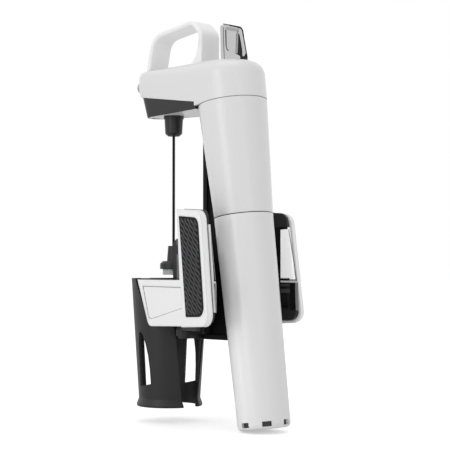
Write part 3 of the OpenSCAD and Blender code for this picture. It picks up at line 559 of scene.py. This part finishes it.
# Mid grey, for the painted shade lines on the trigger.
painted_shade_line = surface("satin_chrome_line", "#5C5C5E", 0.4, metallic=1.0)
round_edges(painted_shade_line, 0.1, grain(painted_shade_line, 1.0, 0.1, 0.01))
on_face, on_floor = 1.28, 0.38
thick, thin = 0.12, 0.1
wedge = [(3.95, 16.6), (4.1, 17.3), (4.7, 17.1), (5.1, 15.5), (5.5, 12.5), (5.8, 9.5), (5.9, 6.4), (5.6, 4.2)]
wedge += [(3.75, 3.2), (1.75, 4.9), (2.1, 6.7), (2.75, 9.9), (3.45, 13.5)]
low_block = [(5.5, 4.2), (5.8, 3.6), (6.6, 3.4), (7.8, 4.2), (8.5, 5.5), (9.2, 5.4), (9.9, -0.7)]
low_block += [(3.4, -0.7), (3.75, 3.2)]
curve = [(3.75, 3.2), (3.0, 3.6), (2.2, 3.9), (0.8, 4.2), (-0.5, 4.5), (0.8, 4.75), (1.8, 4.8)]
corner_x, corner_h, corner_r = 5.75, 18.95, 2.35
angles = [math.radians(degrees) for degrees in range(75, 0, -15)]
corner = [(corner_x + corner_r * math.cos(a), corner_h + corner_r * math.sin(a)) for a in angles]
rim_parts = [
    strip([(-8.3, 21.6), (-3.0, 21.6)], 0.45),
    strip([(-3.0, 21.5), (1.0, 21.45), (3.6, 21.4)], 0.85),
    strip([(3.6, 21.4)] + corner + [(8.15, 18.0), (8.35, 16.0)], 1.1),
    strip([(8.35, 16.0), (8.8, 11.5), (9.3, 7.0), (9.75, 3.0)], 0.8),
]
dark = [wedge, low_block, curve]
inlay("trigger_inlays", dark, blade, on_face, thick, painted_dark_reflection, "trigger")
inlay("trigger_rim_line", rim_parts, blade, on_face, thin, painted_dark_reflection, "trigger")
# Painted shade on the dish's left wall, and below it painted shade down the blade's left edge.
groove = [strip([(-5.6, 18.3), (-6.0, 14.9), (-6.4, 11.2), (-6.7, 8.0)], 0.9)]
inlay("trigger_groove_line", groove, blade, on_floor, thick, painted_shade_line, "trigger")
left_lines = [
    strip([(-8.5, 19.5), (-9.4, 10.5), (-10.2, 0.0)], 0.5),
    strip([(-7.6, 7.9), (-7.1, 6.4), (-5.9, 5.4)], 0.7),
]
inlay("trigger_side_line", left_lines, blade, on_face, thin, painted_shade_line, "trigger")

# %% [markdown]
# The front panel of each wing is a separate skin, set in a shallow recess. The gap round it is a hair line,
# drawn as painted shade: a grey strip on the recess's floor.

# %% Painted shade in the wing panel gap
# Grey painted shade, for the panel gap and for shaded faces on the wing's inner side.
painted_grey_shade = surface("gap_in_white_abs", "#8E8E90", 0.6, ior=1.54)
round_edges(painted_grey_shade, 0.1, grain(painted_grey_shade, 1.0, 0.1, 0.01))
recess, gap_width, gap_skin = -0.48, 0.3, 0.04
panel_loop = [(-0.4, -4.9), (-44.7, -5.2), (-45.8, -17.1), (-10.7, -24.2), (-8.3, -23.8), (-7.3, -22.9)]
panel_loop += panel_loop[:1]
for word, side in sides.items():
    body = word + "_jaw"
    face = (mirrored(wing_face, side), mirrored(wing_along, side) * -side, Vector((0, 0, 1)))
    flipped = [(-y * side, z) for y, z in panel_loop]
    gap = [strip(flipped[k : k + 2], gap_width) for k in range(len(flipped) - 1)]
    inlay(body + "_panel_gap", gap, face, recess, gap_skin, painted_grey_shade, body)

# %% [markdown]
# On the wing's inner side a light panel ends rearward in a slanted edge, and the step there is a grey line
# of painted shade. Black inlays darken a strip at the panel's other end, its upper rear corner, and the
# black parts of the jaw below and behind it; under the panel runs a black line of painted shadow. Below that
# line come a thin light ledge, two fainter bands, and a grey strip of painted shade at the rear. They are all
# thin inlays on the wing's back face, sunk into it by a fiftieth of a millimetre.

# %% Wing's inner side
wing_thickness, sunk = 0.0062, -0.02
for word, side in sides.items():
    body = word + "_jaw"
    back_at = mirrored(wing_face + wing_in * wing_thickness, side)
    face = (back_at, mirrored(wing_along, side) * side, Vector((0, 0, 1)))
    # Black inlays; the long thin one under the panel is a painted shadow line.
    shade = [
        [(-46.0, 31.0), (-60.9, 31.0), (-60.9, -0.2), (-46.0, -0.2)],
        [(-60.7, 31.0), (-65.8, 31.0), (-66.0, 29.8), (-60.7, 29.5)],
        [(-67.6, -2.6), (-71.2, -2.6), (-71.6, -19.2), (-67.6, -19.2)],
        [(-46.0, -1.3), (-72.5, -1.3), (-72.4, -0.7), (-46.0, -0.7)],
    ]
    # Grey painted shade: the slanted step and the strip at the rear.
    edge = [
        [(-66.5, 29.6), (-67.0, 29.6), (-72.4, -0.6), (-71.9, -0.6)],
        [(-71.3, -2.6), (-73.2, -2.6), (-73.3, -19.2), (-71.7, -19.2)],
    ]
    ledge = [[(-60.9, -1.4), (-72.5, -1.4), (-72.6, -2.5), (-60.9, -2.5)]]
    bands = [
        [(-60.9, -3.6), (-67.5, -3.4), (-67.5, -4.6), (-60.9, -4.8)],
        [(-60.9, -6.4), (-67.5, -6.4), (-67.5, -8.8), (-60.9, -8.8)],
    ]
    for name, outlines, material, slot in [
        ("_inner_shade", shade, deep_black_and_shade, "black_plastic"),
        ("_inner_edge", edge, painted_grey_shade, "white_shell"),
        ("_inner_ledge", ledge, white_abs_wings, "white_shell"),
        ("_inner_bands", bands, rubber, "rubber"),
    ]:
        turned = [[(y * side, z) for y, z in outline] for outline in outlines]
        inlay(body + name, turned, face, sunk, thin, material, body)

# %% [markdown]
# The return spring stands on the regulator and holds up the plunger's head. Its foot stays with the housing
# and its top goes down with the plunger, so its turns close up as the trigger is pressed. The stand-in rides
# on neither body: its place is baked into its points.

# %% Trigger spring
spring = smooth_copy("trigger_spring", 60, rides=False)
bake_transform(spring)
print(spring.name, "closes up between housing and valve")

# %% [markdown]
# The white tube is made of three mouldings. Where two of them meet there is a narrow gap. The dark line it
# shows round the tube is painted shade: a thin ring of black rubber down in the gap, of which only the
# outermost edge shows.

# %% Seam shade rings
lean = math.radians(7.7)
tube_foot = Vector((0, -0.0658, 0))
tube_up = Vector((0, math.sin(lean), math.cos(lean)))
tube_side = Vector((0, math.cos(lean), -math.sin(lean)))
ring_out, ring_up = 0.2, 0.26
ring_steps, ring_corners = 96, 8
for name, t, radius in [("upper_seam_ring", 105.4, 20.28), ("lower_seam_ring", 37.2, 17.02)]:
    form = bmesh.new()
    rows = []
    for k in range(ring_steps):
        turn = k * math.tau / ring_steps
        out = Vector((math.cos(turn), 0, 0)) + tube_side * math.sin(turn)
        row = []
        for corner in range(ring_corners):
            bend = corner * math.tau / ring_corners
            at = tube_foot + out * (radius + ring_out * math.cos(bend)) / 1000
            row.append(form.verts.new(at + tube_up * (t + ring_up * math.sin(bend)) / 1000))
        rows.append(row)
    for a, b in zip(rows, rows[1:] + rows[:1]):
        for k in range(ring_corners):
            n = (k + 1) % ring_corners
            form.faces.new((a[k], a[n], b[n], b[k])).smooth = True
    bmesh.ops.recalc_face_normals(form, faces=form.faces)
    # A ring of dark rubber as painted shade in the seam.
    ring = add_piece(name, form, rubber)
    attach(ring, "housing")
    print(ring.name, "at", t, "mm along the tube")

# %% [markdown]
# The lamps are soft boxes, each an area lamp with a width, a height and a power in watts. A tall one stands
# to the left of the camera, a narrow and dim one behind the object, and a square one hangs above. A white
# card throws light on the inner panel of the right wing alone. A fill without shadows lightens the
# capsule's cup alone, where the left wing would shade it.


# %% Soft boxes
def soft_box(name, place, aim, width, height, power):
    data = bpy.data.lights.new(name, "AREA")
    data.shape = "RECTANGLE"
    data.size = width
    data.size_y = height
    data.energy = power
    lamp = bpy.data.objects.new(name, data)
    bpy.context.scene.collection.objects.link(lamp)
    lamp.location = place
    lamp.rotation_euler = (Vector(aim) - Vector(place)).to_track_quat("-Z", "Y").to_euler()
    return lamp


middle = (0, -0.04, 0.03)
soft_box("left_soft_box", (-0.95, -0.05, 0.05), middle, 0.35, 1.2, 2.4)
soft_box("rear_soft_box", (-0.35, -1.05, 0.15), middle, 0.15, 1.0, 0.35)
soft_box("top_soft_box", (-0.1, -0.1, 1.0), middle, 0.6, 0.6, 1.2)
card = soft_box("wing_card", (-0.6, -0.95, 0.05), (0.033, -0.065, 0.01), 0.3, 0.5, 7.0)
fill = soft_box("cup_fill", (-0.7, 0.5, 0.0), middle, 0.5, 0.5, 1.6)
fill.data.use_shadow = False
for lamp, node in [(card, "right_wing_liner"), (fill, "capsule_cup")]:
    lit = bpy.data.collections.new("lit_by_" + lamp.name)
    lit.objects.link(nodes[node])
    lamp.light_linking.receiver_collection = lit
    print(lamp.name, "lights", node, "alone")

# %% [markdown]
# White surroundings light the object from all round. The camera and every reflection see them pure white,
# and the light that they throw on the object is held at 0.7, so that the white plastic isn't burnt out.

# %% White surroundings
thrown_light = 0.7
world = bpy.data.worlds.new("white_studio")
bpy.context.scene.world = world
world.use_nodes = True
backdrop = world.node_tree.nodes["Background"]
backdrop.inputs["Color"].default_value = (1, 1, 1, 1)
ray = add_node(world, "ShaderNodeLightPath")
seen = add_node(
    world,
    "ShaderNodeMath",
    {0: ray.outputs["Is Camera Ray"], 1: ray.outputs["Is Glossy Ray"]},
    operation="MAXIMUM",
)
level = add_node(
    world,
    "ShaderNodeMapRange",
    {"Value": seen.outputs["Value"]},
    To_Min=thrown_light,
    To_Max=1.0,
)
world.node_tree.links.new(level.outputs["Result"], backdrop.inputs["Strength"])
print("surroundings light the object at", thrown_light, "of full white")

# %% [markdown]
# The floor is a sheet of white paper just below the object, and keeps its soft shadow. To the camera alone
# the paper glows a little, so that it meets the white behind it without a line.

# %% Paper floor
floor_half_width, floor_gap, paper_glow = 8, 0.0002, 0.45
floor_mesh = bpy.data.meshes.new("studio_floor")
form = bmesh.new()
bmesh.ops.create_grid(form, x_segments=1, y_segments=1, size=floor_half_width)
form.to_mesh(floor_mesh)
form.free()
floor = bpy.data.objects.new("studio_floor", floor_mesh)
bpy.context.scene.collection.objects.link(floor)
floor.location.z = cad_low.z - floor_gap
paper = surface("white_paper_sweep", "#F2F2F2", 0.9)
floor_mesh.materials.append(paper)
ray = add_node(paper, "ShaderNodeLightPath")
glow = add_node(paper, "ShaderNodeMath", {0: ray.outputs["Is Camera Ray"]}, operation="MULTIPLY")
glow.inputs[1].default_value = paper_glow
shader = paper.node_tree.nodes["Principled BSDF"]
shader.inputs["Emission Color"].default_value = (1, 1, 1, 1)
paper.node_tree.links.new(glow.outputs["Value"], shader.inputs["Emission Strength"])
bpy.context.scene.view_settings.view_transform = "Standard"
print("floor at", round(1000 * floor.location.z, 1), "mm")

# %% [markdown]

# %% The end
import json
